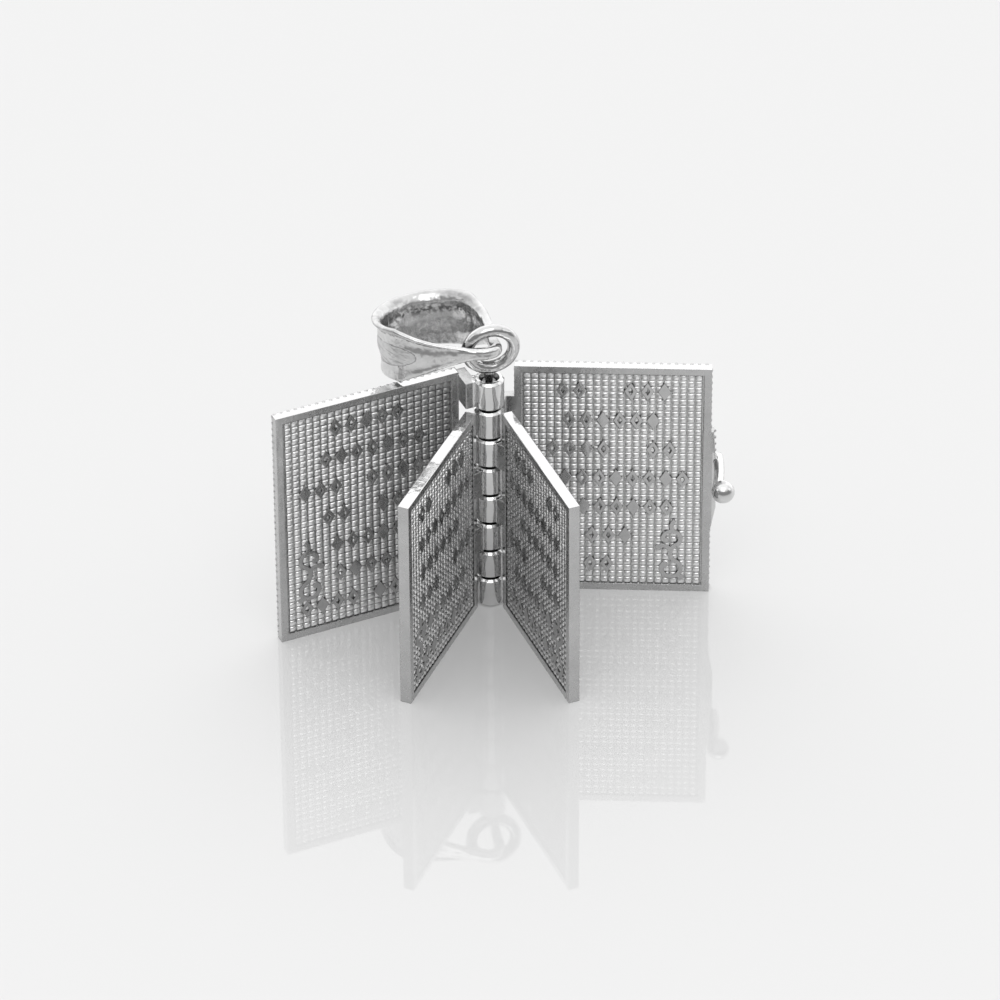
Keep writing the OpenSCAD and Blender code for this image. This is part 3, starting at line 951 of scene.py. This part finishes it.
def make_floor():
    """Glossy white table top, lit faintly from below."""
    half = 0.5
    corners = [(-half, -half, 0), (half, -half, 0), (half, half, 0), (-half, half, 0)]
    mesh = bpy.data.meshes.new("table_top")
    mesh.from_pydata(corners, [], [(0, 1, 2, 3)])
    floor = bpy.data.objects.new("table_top", mesh)
    bpy.context.scene.collection.objects.link(floor)
    material = bpy.data.materials.new("white_gloss")
    material.use_nodes = True
    surface = material.node_tree.nodes["Principled BSDF"]
    for socket, value in (("Base Color", (0.53, 0.53, 0.53, 1)), ("Emission Color", (1, 1, 1, 1)),
                          ("Emission Strength", 0.15), ("Roughness", 0.018), ("IOR", 1.6)):
        surface.inputs[socket].default_value = value
    mesh.materials.append(material)


def make_world(scene):
    """A pale room: brightest behind the charm, bright overhead, darker in front and low down."""
    world = bpy.data.worlds.new("pale_room")
    world.use_nodes = True
    scene.world = world
    tree = world.node_tree
    sky = tree.nodes["Background"]
    way = tree.nodes.new("ShaderNodeTexCoord")
    apart = tree.nodes.new("ShaderNodeSeparateXYZ")
    tree.links.new(way.outputs["Generated"], apart.inputs["Vector"])
    behind = ramp(tree, apart.outputs["Y"], *ROOM_BEHIND)
    above = ramp(tree, apart.outputs["Z"], *ROOM_ABOVE)
    sky.inputs["Color"].default_value = (1, 1, 1, 1)
    tree.links.new(calc(tree, "MAXIMUM", behind, above), sky.inputs["Strength"])


def make_lights():
    """Soft boxes above the front and at both sides."""
    for name, where, size, watts in LIGHTS:
        light = bpy.data.lights.new(name, "AREA")
        light.size = size
        light.energy = watts
        lamp = bpy.data.objects.new(name, light)
        lamp.location = where
        lamp.rotation_euler = (LIGHT_AIM - Vector(where)).to_track_quat("-Z", "Y").to_euler()
        bpy.context.scene.collection.objects.link(lamp)


def make_camera(stage):
    """Camera at the photographer's place."""
    camera = bpy.data.cameras.new("camera")
    camera.lens = stage.lens
    camera.sensor_width = 36
    camera.clip_start = 0.01
    eye = bpy.data.objects.new("camera", camera)
    back = Vector((0, -math.cos(stage.elevation), math.sin(stage.elevation)))
    turn = back.to_track_quat("Z", "Y").to_matrix().to_4x4() @ Matrix.Rotation(-stage.roll, 4, "Z")
    eye.matrix_world = Matrix.Translation(Vector(stage.aim) + back * stage.distance) @ turn
    bpy.context.scene.collection.objects.link(eye)
    bpy.context.scene.camera = eye


class CHARM_PT_panel(bpy.types.Panel):
    """Steps that finish the charm"""
    bl_idname = "CHARM_PT_panel"
    bl_label = "Book charm"
    bl_space_type = "VIEW_3D"
    bl_region_type = "UI"
    bl_category = "Charm"

    def draw(self, context):
        for step in STEPS:
            self.layout.operator(step.bl_idname)
        for group, kind in GROUPS.items():
            box = self.layout.box()
            for name in kind.__annotations__:
                box.prop(getattr(context.scene, group), name)


STEPS = (CHARM_OT_stage, CHARM_OT_leaves, CHARM_OT_fields, CHARM_OT_beads, CHARM_OT_ring_pin,
         CHARM_OT_bail)
CLASSES = (*GROUPS.values(), *STEPS, CHARM_PT_panel)


def register():
    for kind in CLASSES:
        bpy.utils.register_class(kind)
    for name, kind in GROUPS.items():
        setattr(bpy.types.Scene, name, PointerProperty(type=kind))


def unregister():
    for name in GROUPS:
        delattr(bpy.types.Scene, name)
    for kind in reversed(CLASSES):
        bpy.utils.unregister_class(kind)


def main():
    register()
    bpy.ops.charm.stage()
    bpy.ops.charm.leaves()
    bpy.ops.charm.fields()
    bpy.ops.charm.beads()
    bpy.ops.charm.ring_pin()
    bpy.ops.charm.bail()


if __name__ == "__main__":
    main()
